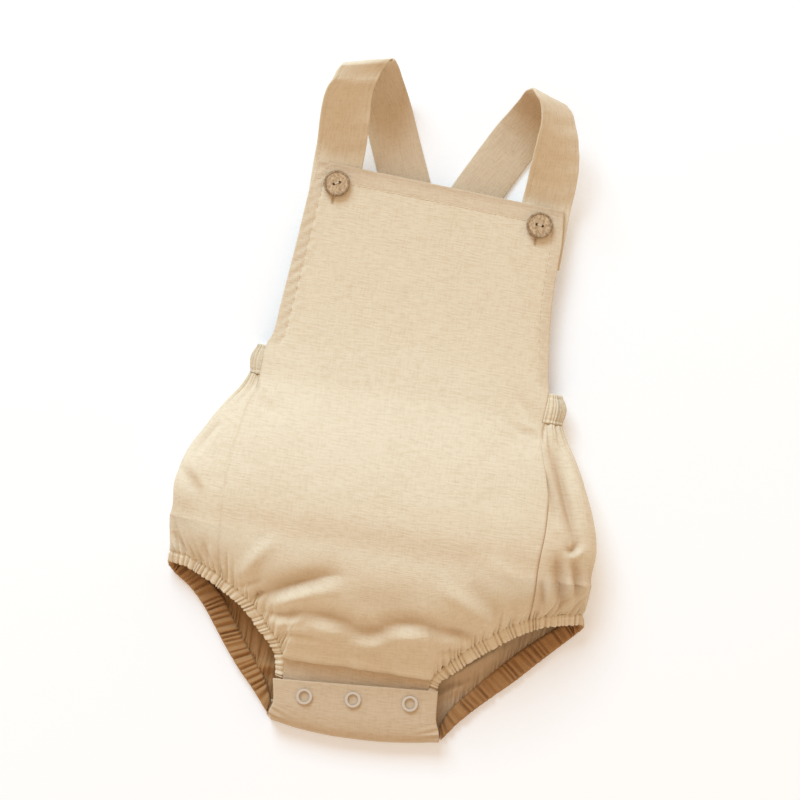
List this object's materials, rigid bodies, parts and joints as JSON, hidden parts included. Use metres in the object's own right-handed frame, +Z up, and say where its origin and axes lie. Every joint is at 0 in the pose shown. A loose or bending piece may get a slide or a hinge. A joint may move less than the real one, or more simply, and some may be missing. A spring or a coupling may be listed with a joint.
{
  "type": "baby romper",
  "caption": "Sleeveless baby romper with a bib front, buttoned shoulder straps crossed at the back, elastic waist and leg casings and a snap crotch, lying flat on its back.",
  "frame": {"origin": "bottom centre of the bounding box, on the surface the romper lies on", "axes": "+Y up the garment towards the straps, +X to the right looking down on its front, +Z up from the surface"},
  "size_m": [0.2577, 0.4015, 0.0475],
  "materials": {
    "linen": "matt slubbed linen and cotton weave",
    "wood": "matt, unvarnished",
    "steel": "polished"
  },
  "bodies": {
    "root": {"front_panel": "linen", "back_panel": "linen", "waist_casing": "linen", "strap_left": "linen", "strap_right": "linen", "leg_casing_left": "linen", "leg_casing_right": "linen", "front_placket": "linen", "crotch_flap": "linen", "button_left": "wood", "button_right": "wood", "snap_ring_1": "steel", "snap_ring_2": "steel", "snap_ring_3": "steel", "snap_socket_1": "steel", "snap_socket_2": "steel", "snap_socket_3": "steel"}
  },
  "joints": []
}
